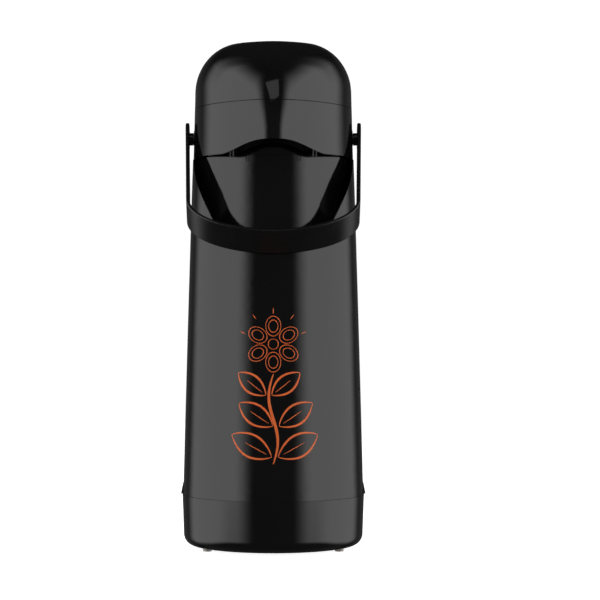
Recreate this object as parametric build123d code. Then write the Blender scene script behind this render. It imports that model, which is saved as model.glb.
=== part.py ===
from build123d import *

import os
from math import asin, cos, pi, sin, sqrt

# Airpot of about one litre, a pump flask with a beaked flip head and a swinging strap handle.
# Millimetres, +Z up. The origin is on the table under the middle of the body.
# The beak and the spout point to -Y, the hinge of the head is at +Y, the handle turns about X.

# Clearances
moving_gap = 0.3
pin_gap = 0.06
seat_gap = 0.15
hood_line = 0.35

# How far a cutting tool reaches past the wall it cuts, and how close an edge must be to be picked
over = 1.0
pick_tolerance = 0.01

# Base cap and feet
foot_height = 1.9
foot_radius = 3.0
foot_inset = 11.0
foot_count = 3
foot_plug_radius = 1.6
foot_plug_height = 1.4
base_height = 35.1
base_overhang = 0.55
base_taper = 1.0
base_fillet = 7.8
base_wall = 2.4
base_dish_radius = 40.0
base_dish_depth = 0.8
spigot_wall = 2.0
spigot_height = 7.0

# Body shell
body_height = 231.5
body_radius = 62.45
neck_radius = 55.8
body_bulge = 0.2
body_wall = 2.2
ledge_width = 3.2
ledge_height = 3.0
lug_width = 9.0
lug_height = 8.0
lug_proud = 1.5

# Front tongue of the body and arch of the visor
tongue_rise = 8.0
tongue_half_width = 33.0
visor_rise = 8.3
visor_half_width = 34.0

# Ears that carry the handle
ear_half_width = 14.0
ear_height = 25.5
ear_round = 6.0
ear_wall = 3.8
ear_root = 13.0
pivot_rise = 14.5
pivot_pad_radius = 6.0
handle_pin_radius = 2.5
handle_pin_head_radius = 4.0
handle_pin_head = 1.0

# Head, outer form
head_step = 0.4
head_draft = 0.028
shoulder_rise = 45.8
shoulder_radius = 35.0
hood_seam_rise = 34.5
head_wall = 2.4
lip_height = 4.0
beak_rise = 8.5
beak_reach = 86.0
brow_centre = 22.0
nose_sharp = 0.28
nose_blunt = 0.97
nose_start = 3.0
nose_blend = 62.0
crown_lip = 1.8
crown_edge = 0.4
crown_slope = 1.25
section_count = 18

# Head, floor and hooks
floor_rise = 10.7
floor_thickness = 2.2
hook_x = 27.4
hook_spacing = 2.0
hook_radius = 0.45
hook_setback = 1.0
hook_drop = 2.4

# Hinge of the head
hinge_barrel_radius = 3.2
hinge_pin_radius = 1.5
hinge_knuckle = 8.0
hinge_middle = 11.4
hinge_side_gap = 0.3
hinge_web = 6.5

# Press button and pusher
button_opening = 31.6
button_crown = 3.0
button_wall = 2.2
button_guided = 5.0
button_flange = 2.1
button_flange_height = 2.0
guide_wall = 2.2
boss_radius = 11.0
boss_height = 8.0
press_stroke = 17.0
pusher_disc = 2.4
pusher_radius = 10.0
pusher_wall = 2.0

# Collar and liner
collar_sink = 1.0
collar_rise = 9.5
collar_wall = 2.4
collar_plate = 2.5
mouth_radius = 29.4
mouth_seat = 1.6
mouth_wall = 3.8
sleeve_drop = 8.0
gasket_height = 4.0
liner_radius = 49.0
liner_neck_radius = 38.5
liner_base_gap = 10.1
liner_dome = 38.0
liner_shoulder = 24.0
liner_neck = 12.0
glass_wall = 1.8
vacuum_gap = 3.4
neck_vacuum_gap = 0.9
vacuum_base = 5.4
spacer_count = 3
spacer_width = 6.0
spacer_z = 80.0
cushion_radius = 44.0
cushion_bore = 26.0

# Dip tube, spout and nozzle
tube_radius = 4.0
tube_bore = 3.0
tube_y = -22.0
tube_foot_gap = 5.0
tube_slant = 35.0
tube_bead = 1.5
tube_bead_height = 1.2
holder_thickness = 2.0
holder_edge_y = -13.0
seal_wall = 2.0
spout_bend = 7.0
spout_rise = 12.5
nozzle_y = -72.0
nozzle_wall = 1.5
nozzle_recess = 1.0
nozzle_flange = 2.5
nozzle_flange_height = 1.6
nozzle_bore_length = 3.0

# Pump base, bellows, spring and valves
pump_radius = 36.0
pump_wall = 2.4
pump_drop = 11.4
pump_flange = 6.0
pump_flange_height = 2.0
mouth_gasket_height = 2.2
mouth_gasket_width = 5.7
screw_count = 3
screw_radius = 1.1
screw_head_radius = 2.0
screw_head_height = 1.3
bellows_y = 5.5
bellows_radius = 21.0
bellows_fold = 4.0
bellows_wall = 1.0
bellows_collar = 3.6
bellows_ribs = 7
bellows_height = 57.6
clamp_wall = 2.0
clamp_height = 2.4
spring_radius = 12.0
spring_wire = 0.7
spring_turns = 7
valve_radius = 6.0
valve_thickness = 0.8
valve_stem_radius = 1.4
valve_hole_radius = 1.0
valve_hole_circle = 3.6
valve_holes = 4

# Handle
handle_draw_in = 2.4
handle_thickness = 2.4
handle_arm = 71.0
handle_bow = 28.5
handle_strap = 21.5
handle_eye_radius = 11.3
handle_eye_blend = 32.0
handle_edge = 0.6
handle_boss_radius = 4.35
handle_boss_length = 3.0
handle_boss_sink = 0.5
handle_bore_floor = 0.8
handle_rest_angle = 43.8

# Sizes and heights that follow from the sizes above
base_radius = body_radius + base_overhang
foot_circle = base_radius - foot_inset
head_radius = neck_radius - head_step
button_skirt = press_stroke + button_guided
base_bottom_z = foot_height
seam_z = base_bottom_z + base_height
rim_z = seam_z + body_height
head_z = rim_z + moving_gap
pivot_z = rim_z + pivot_rise
ear_top_z = rim_z + ear_height
shoulder_z = head_z + shoulder_rise
hood_z = head_z + hood_seam_rise
floor_z = head_z + floor_rise
floor_top_z = floor_z + floor_thickness
shoulder_x = head_radius - head_draft * shoulder_rise - shoulder_radius
crown_x = button_opening + crown_edge
crown_z = shoulder_z + sqrt(shoulder_radius**2 - (crown_x - shoulder_x) ** 2)
beak_z = head_z + beak_rise
brow_reach = beak_reach - brow_centre
brow_share = (button_opening + crown_lip - brow_centre) / brow_reach
brow_rise = (crown_z - beak_z) / sqrt(1 - brow_share**2)
hinge_y = neck_radius + moving_gap + hinge_barrel_radius
pump_z = floor_top_z - pump_drop
pump_plate_z = pump_z + pump_wall
pusher_z = pump_plate_z + bellows_height
collar_top_z = rim_z - collar_sink
collar_plate_z = collar_top_z - collar_rise + gasket_height
lip_z = collar_plate_z - gasket_height
holder_z = collar_plate_z
tube_top_z = pump_z - mouth_gasket_height
spout_z = floor_z + spout_rise
nozzle_z = floor_z - nozzle_recess
nozzle_radius = tube_radius + nozzle_wall
socket_z = nozzle_z + nozzle_bore_length
liner_dome_z = foot_height + liner_base_gap + liner_dome
base_floor_z = base_bottom_z + base_wall
pivot_x = head_radius - head_draft * (pivot_z - head_z)
ear_inner_x = pivot_x - ear_wall
handle_boss_x = pivot_x + moving_gap
handle_half_width = handle_boss_x + handle_boss_length + handle_thickness


def disc(radius, low, high, x=0.0, y=0.0):
    """Upright cylinder from height low to height high."""
    cylinder = Cylinder(radius, high - low, align=(Align.CENTER, Align.CENTER, Align.MIN))
    return Pos(x, y, low) * cylinder


def ring(outer, inner, low, high, x=0.0, y=0.0):
    """Upright tube between two radii."""
    return disc(outer, low, high, x, y) - disc(inner, low, high, x, y)


def rod(radius, near_x, far_x, y, z):
    """Cylinder along X from one distance to another."""
    cylinder = Cylinder(radius, far_x - near_x, align=(Align.CENTER, Align.CENTER, Align.MIN))
    return Pos(near_x, y, z) * Rot(0, 90, 0) * cylinder


def block(x_span, y_span, z_span):
    """Box given by its three spans."""
    box = Box(
        x_span[1] - x_span[0],
        y_span[1] - y_span[0],
        z_span[1] - z_span[0],
        align=(Align.MIN, Align.MIN, Align.MIN),
    )
    return Pos(x_span[0], y_span[0], z_span[0]) * box


def turned(edges):
    """Solid of revolution about Z of a closed outline drawn as radius and height."""
    return revolve(Plane.XZ * make_face(edges), Axis.Z)


def turned_outline(points):
    """Solid of revolution of a closed run of straight lines."""
    return turned(Polyline(*points, close=True))


def side_prism(edges, low_x, high_x):
    """Prism along X of a closed outline drawn as Y and Z."""
    return Pos(low_x, 0, 0) * extrude(Plane.YZ * make_face(edges), high_x - low_x)


def front_prism(edges, near_y, far_y):
    """Prism along Y of a closed outline drawn as X and Z."""
    return Pos(0, far_y, 0) * extrude(Plane.XZ * make_face(edges), far_y - near_y)


def mirrored_pair(shape):
    """The shape and its mirror image across X = 0."""
    return shape + mirror(shape, Plane.YZ)


def around_z(shape, count, start):
    """Copies of a shape turned about Z, from the angle start."""
    return [Rot(0, 0, start + 360.0 * index / count) * shape for index in range(count)]


# Profiles of the body and of the head


def body_arc(inset):
    """Side line of the body from the base seam to the rim, drawn in by inset."""
    middle = (body_radius + neck_radius) / 2 + body_bulge
    return ThreePointArc(
        (body_radius - inset, seam_z),
        (middle - inset, (seam_z + rim_z) / 2),
        (neck_radius - inset, rim_z),
    )


def shell_bore(z):
    """Inner radius of the body shell at height z, on the straight line between its ends."""
    return body_radius - (body_radius - neck_radius) * (z - seam_z) / body_height - body_wall


def side_reach(z, inset):
    """Half width of the head at height z."""
    if z <= shoulder_z:
        return head_radius - head_draft * (z - head_z) - inset
    return shoulder_x + sqrt((shoulder_radius - inset) ** 2 - (z - shoulder_z) ** 2)


def front_reach(z, inset):
    """How far the brow or the beak stands forward of the axis at height z."""
    rise = max(z - beak_z, 0.0) / (brow_rise - inset)
    return brow_centre + (brow_reach - inset) * sqrt(1 - rise**2)


def nose_share(z):
    """Radius of the nose as a share of the half width, small at the beak, near 1 at the crown."""
    step = min(max((z - beak_z - nose_start) / nose_blend, 0.0), 1.0)
    return nose_sharp + (nose_blunt - nose_sharp) * step**2 * (3 - 2 * step)


def flank_radius(reach, front, nose):
    """Radius of the flank arc that leaves the side square and meets the nose arc in line."""
    offset = front - nose
    return (reach**2 + offset**2 - nose**2) / (2 * (reach - nose))


def head_section(z, inset):
    """Plan of the head at height z: round back, two flank arcs and a nose arc, all tangent."""
    reach = side_reach(z, inset)
    front = front_reach(z, inset)
    nose = nose_share(z) * reach
    flank = flank_radius(reach, front, nose)
    swing = asin((front - nose) / (flank - nose))
    flank_x = reach - flank
    half = (flank_x + flank * cos(swing / 2), -flank * sin(swing / 2))
    touch = (flank_x + flank * cos(swing), -flank * sin(swing))
    diagonal = reach * sqrt(0.5)
    outline = Wire(
        [
            ThreePointArc((0, reach), (-diagonal, diagonal), (-reach, 0)).edge(),
            ThreePointArc((-reach, 0), (-half[0], half[1]), (-touch[0], touch[1])).edge(),
            ThreePointArc((-touch[0], touch[1]), (0, -front), touch).edge(),
            ThreePointArc(touch, half, (reach, 0)).edge(),
            ThreePointArc((reach, 0), (diagonal, diagonal), (0, reach)).edge(),
        ]
    )
    return Pos(0, 0, z) * make_face(outline)


def head_form(inset, low):
    """Whole form of the head, drawn in by inset. Its sections crowd towards the crown."""
    high = crown_z - crown_slope * inset
    steps = [sin(pi / 2 * index / (section_count - 1)) for index in range(section_count)]
    return loft([head_section(low + (high - low) * step, inset) for step in steps])


def arch(shares, rise, half_width, foot_z, bottom_z):
    """Closed outline under a smooth symmetric arch. Shares are of the half width and the rise."""
    right = [(half_width * x, foot_z + rise * z) for x, z in shares]
    left = [(-x, z) for x, z in reversed(right[1:])]
    curve = Spline(*left, *right)
    base = Polyline(right[-1], (half_width, bottom_z), (-half_width, bottom_z), left[0])
    return curve + base


def ear_outline(grow):
    """Side view of one ear: two arcs about the hinge of the head, a round top, a straight root."""
    near = hinge_y - ear_half_width - grow
    far = hinge_y + ear_half_width + grow
    rise = ear_height + grow
    root_z = rim_z - ear_root
    front_top = (hinge_y - sqrt(far**2 - rise**2), rim_z + rise)
    back_top = (hinge_y - sqrt(near**2 - rise**2), rim_z + rise)
    front_turn = asin(rise / far) / 2
    back_turn = asin(rise / near) / 2
    far_y = hinge_y - far
    near_y = hinge_y - near
    outline = make_face(
        Polyline(back_top, front_top)
        + ThreePointArc(
            front_top,
            (hinge_y - far * cos(front_turn), rim_z + far * sin(front_turn)),
            (far_y, rim_z),
        )
        + Polyline((far_y, rim_z), (far_y, root_z), (near_y, root_z), (near_y, rim_z))
        + ThreePointArc(
            (near_y, rim_z),
            (hinge_y - near * cos(back_turn), rim_z + near * sin(back_turn)),
            back_top,
        )
    )
    tops = outline.vertices().group_by(Axis.Y)[-1]
    return fillet(tops, ear_round)


def ear_prism(grow, low_x, high_x):
    """Both ears as prisms along X."""
    right = Pos(low_x, 0, 0) * extrude(Plane.YZ * ear_outline(grow), high_x - low_x)
    return mirrored_pair(right)


# Body: base, shell, liner and mouth


def make_base_cap():
    """Round-bottomed cup with a spigot that enters the shell."""
    low_radius = base_radius - base_taper
    fillet_z = base_bottom_z + base_fillet
    corner = base_fillet * (1 - sqrt(0.5))
    outside = (
        Polyline((0, base_bottom_z), (low_radius - base_fillet, base_bottom_z))
        + ThreePointArc(
            (low_radius - base_fillet, base_bottom_z),
            (low_radius - corner, base_bottom_z + corner),
            (low_radius, fillet_z),
        )
        + Polyline((low_radius, fillet_z), (base_radius, seam_z), (0, seam_z), (0, base_bottom_z))
    )
    inner_fillet = base_fillet - base_wall
    inner_corner = inner_fillet * (1 - sqrt(0.5))
    inner_low = low_radius - base_wall
    inside = (
        Polyline((0, base_floor_z), (inner_low - inner_fillet, base_floor_z))
        + ThreePointArc(
            (inner_low - inner_fillet, base_floor_z),
            (inner_low - inner_corner, base_floor_z + inner_corner),
            (inner_low, fillet_z),
        )
        + Polyline(
            (inner_low, fillet_z),
            (base_radius - base_wall, seam_z),
            (0, seam_z),
            (0, base_floor_z),
        )
    )
    cup = turned(outside) - turned(inside)
    spigot_radius = shell_bore(seam_z + spigot_height) - seat_gap
    spigot_bore = spigot_radius - spigot_wall
    spigot = ring(spigot_radius, spigot_bore, seam_z - spigot_wall, seam_z + spigot_height)
    shelf = ring(base_radius - base_wall / 2, spigot_bore, seam_z - 2 * spigot_wall, seam_z)
    dish = disc(base_dish_radius, base_bottom_z, base_bottom_z + base_dish_depth)
    plug = disc(foot_plug_radius, base_bottom_z, base_bottom_z + foot_plug_height, y=-foot_circle)
    holes = around_z(plug, foot_count, 180.0)
    return cup + shelf + spigot - dish - holes


def make_base_feet():
    """Rubber pads with plugs, one at the back and two towards the front."""
    pad = disc(foot_radius, 0, foot_height, y=-foot_circle)
    plug = disc(foot_plug_radius, foot_height, foot_height + foot_plug_height, y=-foot_circle)
    return Compound(around_z(pad + plug, foot_count, 180.0))


def body_form():
    """Outside of the body, with the round of the head carried on up to the top of the ears."""
    top_z = ear_top_z + over
    top_radius = side_reach(top_z, 0)
    outline = (
        body_arc(0)
        + Polyline((neck_radius, rim_z), (head_radius, rim_z), (top_radius, top_z))
        + Polyline((top_radius, top_z), (0, top_z), (0, seam_z), (body_radius, seam_z))
    )
    return turned(outline)


def make_body_shell():
    """Tall tapered tube with the front tongue, the two ears, a ledge, two lugs and the hinge barrels."""
    form = body_form()
    bore_top_z = ear_top_z + 2 * over
    bore = turned(
        body_arc(body_wall)
        + Polyline(
            (neck_radius - body_wall, rim_z),
            (side_reach(ear_top_z, body_wall), bore_top_z),
            (0, bore_top_z),
            (0, seam_z),
            (body_radius - body_wall, seam_z),
        )
    )
    wide = 2 * body_radius
    low = block((-wide, wide), (-wide, wide), (seam_z, rim_z))
    tongue_shares = [(0, 1), (0.36, 0.77), (0.63, 0.35), (0.91, 0.05), (1, 0)]
    tongue_face = arch(tongue_shares, tongue_rise, tongue_half_width, rim_z, rim_z - over)
    tongue = front_prism(tongue_face, -wide, -neck_radius / 2)
    ears = form & ear_prism(0, ear_inner_x, wide)
    ledge_z = lip_z - ledge_height
    bore_radius = shell_bore(ledge_z)
    ledge = ring(bore_radius + body_wall / 2, bore_radius - ledge_width, ledge_z, lip_z)
    pad = rod(pivot_pad_radius, ear_inner_x, pivot_x, 0, pivot_z)
    hole = rod(handle_pin_radius, ear_inner_x - over, wide, 0, pivot_z)
    walls = (form & (low + tongue)) + shell_knuckles() - bore
    shell = walls + ears + ledge + mirrored_pair(pad) + mirrored_pair(ramp_lug())
    return shell - mirrored_pair(hole)


def ramp_lug():
    """Small wedge on the side of the shell just above the base seam, thickest at its top."""
    foot_x = body_radius - body_wall / 2
    tip_x = body_radius + lug_proud
    top_z = seam_z + lug_height
    face = make_face(
        Plane.XZ
        * Polyline(
            (foot_x, seam_z + moving_gap),
            (tip_x, seam_z + moving_gap),
            (body_radius, top_z),
            (foot_x, top_z),
            close=True,
        )
    )
    return Pos(0, lug_width / 2, 0) * extrude(face, lug_width)


def barrel(low_x, high_x, radius):
    """Cylinder along the hinge axis of the head."""
    return rod(radius, low_x, high_x, hinge_y, rim_z)


def shell_knuckles():
    """Two hinge barrels at the back of the rim, each on a web that runs down the shell."""
    low_x = hinge_middle / 2 + hinge_side_gap
    high_x = low_x + hinge_knuckle
    web_y = sqrt(shell_bore(rim_z) ** 2 - high_x**2)
    web = side_prism(
        Polyline(
            (web_y, rim_z),
            (hinge_y, rim_z),
            (hinge_y + hinge_barrel_radius, rim_z),
            (web_y, rim_z - 2 * hinge_web),
            close=True,
        ),
        low_x,
        high_x,
    )
    knuckle = web + barrel(low_x, high_x, hinge_barrel_radius)
    return mirrored_pair(knuckle - barrel(low_x - over, high_x + over, hinge_pin_radius))


def make_collar():
    """Ring in the top of the shell: outer wall, plate, sleeve into the neck and raised mouth lip."""
    outer = shell_bore(collar_top_z) - seat_gap
    sleeve = mouth_radius + mouth_wall
    seat = mouth_radius + mouth_seat
    plate_top = collar_plate_z + collar_plate
    body = turned_outline(
        [
            (mouth_radius, lip_z - sleeve_drop),
            (sleeve, lip_z - sleeve_drop),
            (sleeve, collar_plate_z),
            (outer - collar_wall, collar_plate_z),
            (outer - collar_wall, lip_z),
            (outer, lip_z),
            (outer, collar_top_z),
            (outer - collar_wall, collar_top_z),
            (outer - collar_wall, plate_top),
            (sleeve + collar_wall, plate_top),
            (sleeve, collar_top_z),
            (seat, collar_top_z),
            (seat, holder_z),
            (mouth_radius, holder_z),
        ]
    )
    return body - ear_prism(seat_gap, ear_inner_x - seat_gap, 2 * body_radius)


def neck_line(radius, neck, low_z, high_z):
    """Smooth shoulder of a glass wall, upright at both ends."""
    return Spline((radius, low_z), (neck, high_z), tangents=[(0, 1), (0, 1)])


def glass_form(radius, neck, dome, dome_z, top_z):
    """Solid bottle form: half ellipse below, straight side, smooth shoulder and neck."""
    neck_z = lip_z - liner_neck
    shoulder_low = neck_z - liner_shoulder
    bow = EllipticalCenterArc((0, dome_z), radius, dome, start_angle=270, arc_size=90)
    outline = (
        bow
        + Line((radius, dome_z), (radius, shoulder_low))
        + neck_line(radius, neck, shoulder_low, neck_z)
        + Polyline((neck, neck_z), (neck, top_z), (0, top_z), (0, dome_z - dome))
    )
    return turned(outline)


def outer_glass(inset, top_z):
    """Outer glass, drawn in by inset."""
    radius = liner_radius - inset
    neck = liner_neck_radius - inset
    return glass_form(radius, neck, liner_dome - inset, liner_dome_z, top_z)


def inner_glass(inset, top_z):
    """Inner glass, drawn in by inset."""
    radius = liner_radius - glass_wall - vacuum_gap - inset
    neck = liner_neck_radius - glass_wall - neck_vacuum_gap - inset
    dome = liner_dome - glass_wall - vacuum_gap - inset
    return glass_form(radius, neck, dome, liner_dome_z + vacuum_base - vacuum_gap, top_z)


def make_liner_outer_glass():
    """Outer wall of the vacuum flask, closed over the vacuum by the ring of its lip."""
    neck_bore = liner_neck_radius - 2 * glass_wall - neck_vacuum_gap
    hollow = outer_glass(glass_wall, lip_z - glass_wall)
    return outer_glass(0, lip_z) - hollow - disc(neck_bore, lip_z - 2 * glass_wall, lip_z)


def make_liner_inner_glass():
    """Inner wall of the vacuum flask, open at the mouth."""
    top_z = lip_z - glass_wall
    return inner_glass(0, top_z) - inner_glass(glass_wall, top_z)


def make_liner_spacers():
    """Pads that keep the two glasses apart."""
    outside = liner_radius - glass_wall
    inside = outside - vacuum_gap
    band = ring(outside, inside, spacer_z, spacer_z + spacer_width)
    half = spacer_width / 2
    sector = block((-half, half), (-liner_radius, 0), (spacer_z, spacer_z + spacer_width))
    return Compound([band & pad for pad in around_z(sector, spacer_count, 0.0)])


def make_base_cushion():
    """Elastic ring that the dome of the liner stands in."""
    blank = ring(cushion_radius, cushion_bore, base_floor_z, liner_dome_z)
    return blank - outer_glass(0, lip_z)


def make_neck_gasket():
    """Ring between the lip of the liner and the plate of the collar."""
    inner = mouth_radius + mouth_wall + seat_gap
    return ring(liner_neck_radius, inner, lip_z, collar_plate_z)


def make_tube_holder():
    """Crescent that sits on the step of the mouth and holds the dip tube."""
    radius = mouth_radius + mouth_seat - seat_gap
    top_z = holder_z + holder_thickness
    keep = block((-radius, radius), (-radius, holder_edge_y), (holder_z, top_z))
    return (disc(radius, holder_z, top_z) & keep) - disc(tube_radius, holder_z, top_z, y=tube_y)


def make_dip_tube():
    """Straight tube down to just above the bottom, cut slanting, with a bead that rests on the holder."""
    inner_radius = liner_radius - 2 * glass_wall - vacuum_gap
    dome = liner_dome - 2 * glass_wall - vacuum_gap
    dome_z = liner_dome_z + vacuum_base - vacuum_gap
    foot_z = dome_z - dome * sqrt(1 - (tube_y / inner_radius) ** 2) + tube_foot_gap
    bead_z = holder_z + holder_thickness
    tube = disc(tube_radius, foot_z, tube_top_z - moving_gap, y=tube_y)
    bead = disc(tube_radius + tube_bead, bead_z, bead_z + tube_bead_height, y=tube_y)
    bore = disc(tube_bore, foot_z - over, tube_top_z, y=tube_y)
    cutter = Box(4 * tube_radius, 4 * tube_radius, 2 * tube_bore)
    slant = Pos(0, tube_y, foot_z) * Rot(tube_slant, 0, 0) * cutter
    return tube + bead - bore - slant


def make_head_hinge_pin():
    """Steel pin through all barrels of the head hinge."""
    reach = hinge_middle / 2 + hinge_side_gap + hinge_knuckle
    return barrel(-reach, reach, hinge_pin_radius)


def make_handle_pins():
    """Headed pins pressed into the ears from inside, on which the handle turns."""
    tip_x = handle_half_width - handle_bore_floor - moving_gap
    shaft = rod(handle_pin_radius, ear_inner_x, tip_x, 0, pivot_z)
    head = rod(handle_pin_head_radius, ear_inner_x - handle_pin_head, ear_inner_x, 0, pivot_z)
    pin = shaft + head
    return Compound([pin, mirror(pin, Plane.YZ)])


# Head: housing, hood, pump and spout


def ear_pocket():
    """Space left in the sides of the head for the ears and the heads of their pins."""
    return ear_prism(moving_gap, ear_inner_x - handle_pin_head - 2 * moving_gap, 2 * body_radius)


def head_barrel():
    """Middle barrel of the hinge with the web that joins it to the back of the head."""
    half = hinge_middle / 2
    wall_y = side_reach(head_z + hinge_web, head_wall / 2)
    web = side_prism(
        Polyline(
            (wall_y, head_z),
            (hinge_y, head_z),
            (hinge_y + hinge_barrel_radius, rim_z),
            (wall_y, head_z + 2 * hinge_web),
            close=True,
        ),
        -half,
        half,
    )
    bore = barrel(-half - over, half + over, hinge_pin_radius + pin_gap)
    return web + barrel(-half, half, hinge_barrel_radius) - bore


def visor_hooks():
    """Two pairs of small round snap ribs that hang from the edge of the visor."""
    z = head_z + visor_rise / 2
    reach = side_reach(z, 0)
    flank = flank_radius(reach, front_reach(z, 0), nose_share(z) * reach)
    ribs = []
    for step in (-0.5, 0.5):
        x = hook_x + step * hook_spacing
        edge_y = -sqrt(flank**2 - (x + hook_radius + flank - reach) ** 2)
        ribs.append(disc(hook_radius, head_z - hook_drop, z, x, edge_y + hook_setback))
    return mirrored_pair(ribs[0] + ribs[1])


def make_head_housing(outer, inner, middle):
    """Lower half of the head: walls with the visor arch and ear pockets, floor, hinge barrel, hooks."""
    wide = 2 * beak_reach
    below = block((-wide, wide), (-wide, wide), (head_z - over, hood_z - hood_line))
    lip_room = middle & block((-wide, wide), (-wide, wide), (hood_z - lip_height - seat_gap, hood_z))
    slab = inner & block((-wide, wide), (-wide, wide), (floor_z, floor_top_z))
    walls = (outer & below) - inner
    visor_shares = [(0, 1), (0.36, 0.89), (0.6, 0.57), (0.87, 0.13), (1, 0)]
    visor_face = arch(visor_shares, visor_rise, visor_half_width, head_z, head_z - over)
    visor = front_prism(visor_face, -wide, -neck_radius / 2)
    housing = walls - lip_room - visor + slab + visor_hooks()
    housing = housing - disc(pump_radius + seat_gap, floor_z, floor_top_z)
    housing = housing - disc(nozzle_radius + seat_gap, floor_z, floor_top_z, y=nozzle_y)
    return housing - ear_pocket() + head_barrel()


def make_hood_cover(outer, inner, middle):
    """Upper half of the head: domed shell, lip that enters the housing, round guide for the button."""
    wide = 2 * beak_reach
    above = block((-wide, wide), (-wide, wide), (hood_z, crown_z + over))
    lip_band = block((-wide, wide), (-wide, wide), (hood_z - lip_height, hood_z))
    shell = (outer & above) - inner
    lip = (middle & lip_band) - inner
    guide_low = crown_z - button_skirt + button_flange_height + moving_gap
    guide = outer & ring(button_opening + guide_wall, button_opening, guide_low, crown_z)
    return shell + lip + guide - disc(button_opening, guide_low, crown_z + over)


def make_pump_base():
    """Cup that hangs through the floor of the head over the mouth, with its flange on the floor."""
    inner = pump_radius - pump_wall
    outer = pump_radius + pump_flange
    flange_top = floor_top_z + pump_flange_height
    cup = turned_outline(
        [
            (0, pump_z),
            (pump_radius, pump_z),
            (pump_radius, floor_top_z),
            (outer, floor_top_z),
            (outer, flange_top),
            (inner, flange_top),
            (inner, pump_plate_z),
            (0, pump_plate_z),
        ]
    )
    cup = cup - disc(tube_radius + seal_wall, pump_z, pump_plate_z, y=tube_y)
    cup = cup - disc(valve_stem_radius, pump_z, pump_plate_z, y=bellows_y)
    cup = cup - valve_ports(pump_z, pump_plate_z)
    screw = disc(screw_radius, floor_top_z, flange_top, y=pump_radius + pump_flange / 2)
    return cup - around_z(screw, screw_count, 0.0)


def valve_ports(low, high):
    """Ring of small air holes that a valve disc covers."""
    port = disc(valve_hole_radius, low, high, x=valve_hole_circle)
    return [Pos(0, bellows_y, 0) * hole for hole in around_z(port, valve_holes, 45.0)]


def make_pump_screws():
    """Screws of the pump flange, short enough to end inside the floor."""
    flange_top = floor_top_z + pump_flange_height
    y = pump_radius + pump_flange / 2
    shaft = disc(screw_radius, floor_top_z, flange_top, y=y)
    head = disc(screw_head_radius, flange_top, flange_top + screw_head_height, y=y)
    return Compound(around_z(shaft + head, screw_count, 0.0))


def make_mouth_gasket():
    """Soft ring under the pump base that closes on the lip of the mouth."""
    middle = mouth_radius + (mouth_seat + mouth_wall) / 2
    half = mouth_gasket_width / 2
    return ring(middle + half, middle - half, tube_top_z, pump_z)


def make_tube_seal():
    """Stepped rubber bush between the dip tube and the riser of the spout."""
    bush = ring(tube_radius + seal_wall, tube_bore, tube_top_z, pump_plate_z, y=tube_y)
    return bush - disc(tube_radius, pump_z, pump_plate_z, y=tube_y)


def make_spout_tube():
    """Tube up from the seal, forward over the floor and down into the nozzle."""
    route = FilletPolyline(
        (0, tube_y, pump_z),
        (0, tube_y, spout_z),
        (0, nozzle_y, spout_z),
        (0, nozzle_y, socket_z),
        radius=spout_bend,
    )
    start = Plane(origin=(0, tube_y, pump_z), z_dir=(0, 0, 1))
    return sweep(start * (Circle(tube_radius) - Circle(tube_bore)), path=route)


def make_nozzle():
    """Short outlet that takes the end of the spout tube and stands through the floor of the beak."""
    body = ring(nozzle_radius, tube_radius, nozzle_z, spout_z - spout_bend, y=nozzle_y)
    flange_radius = nozzle_radius + nozzle_flange
    flange = ring(flange_radius, tube_radius, floor_top_z, floor_top_z + nozzle_flange_height, y=nozzle_y)
    return body + flange


def make_bellows():
    """Folded rubber bellows between two straight collars."""
    low = pump_plate_z
    high = pusher_z
    pitch = (high - low - 2 * bellows_collar) / bellows_ribs
    inner_edge = bellows_radius - bellows_fold
    outside = [(inner_edge, low), (inner_edge, low + bellows_collar)]
    for index in range(bellows_ribs):
        foot = low + bellows_collar + index * pitch
        outside.append((bellows_radius, foot + pitch / 2))
        outside.append((inner_edge, foot + pitch))
    outside.append((inner_edge, high))
    inside = [(radius - bellows_wall, z) for radius, z in reversed(outside)]
    return Pos(0, bellows_y, 0) * turned_outline(outside + inside)


def make_bellows_clamp():
    """Ring that holds the lower collar of the bellows on the pump base."""
    inner = bellows_radius - bellows_fold
    return ring(inner + clamp_wall, inner, pump_plate_z, pump_plate_z + clamp_height, y=bellows_y)


def make_return_spring():
    """Open coil inside the bellows, between the pump base and the pusher."""
    low = pump_plate_z + 2 * spring_wire
    high = pusher_z - 2 * spring_wire
    route = Helix((high - low) / spring_turns, high - low, spring_radius)
    start = Plane(origin=route @ 0, z_dir=route % 0)
    coil = sweep(start * Circle(spring_wire), path=route, is_frenet=True)
    seat = ring(spring_radius + spring_wire, spring_radius - spring_wire, 0, spring_wire)
    low_seat = Pos(0, 0, pump_plate_z) * seat
    high_seat = Pos(0, 0, pusher_z - spring_wire) * seat
    return Pos(0, bellows_y, 0) * (Pos(0, 0, low) * coil + low_seat + high_seat)


def valve(plate_low, plate_high):
    """Umbrella valve: a disc under a plate and a stem up through it."""
    cap = disc(valve_radius, plate_low - valve_thickness, plate_low, y=bellows_y)
    return cap + disc(valve_stem_radius, plate_low, plate_high, y=bellows_y)


# Press button group


def crown_height(radius, sink):
    """Height of the crowned top of the button at a radius, for a surface that lies sink below it."""
    crown = (button_opening**2 + button_crown**2) / (2 * button_crown)
    return crown_z + button_crown - crown + sqrt((crown - sink) ** 2 - radius**2)


def crown_arc(radius, sink):
    """Arc of that surface from the axis out to the radius."""
    middle = radius / 2
    return ThreePointArc(
        (0, crown_height(0, sink)),
        (middle, crown_height(middle, sink)),
        (radius, crown_height(radius, sink)),
    )


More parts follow.
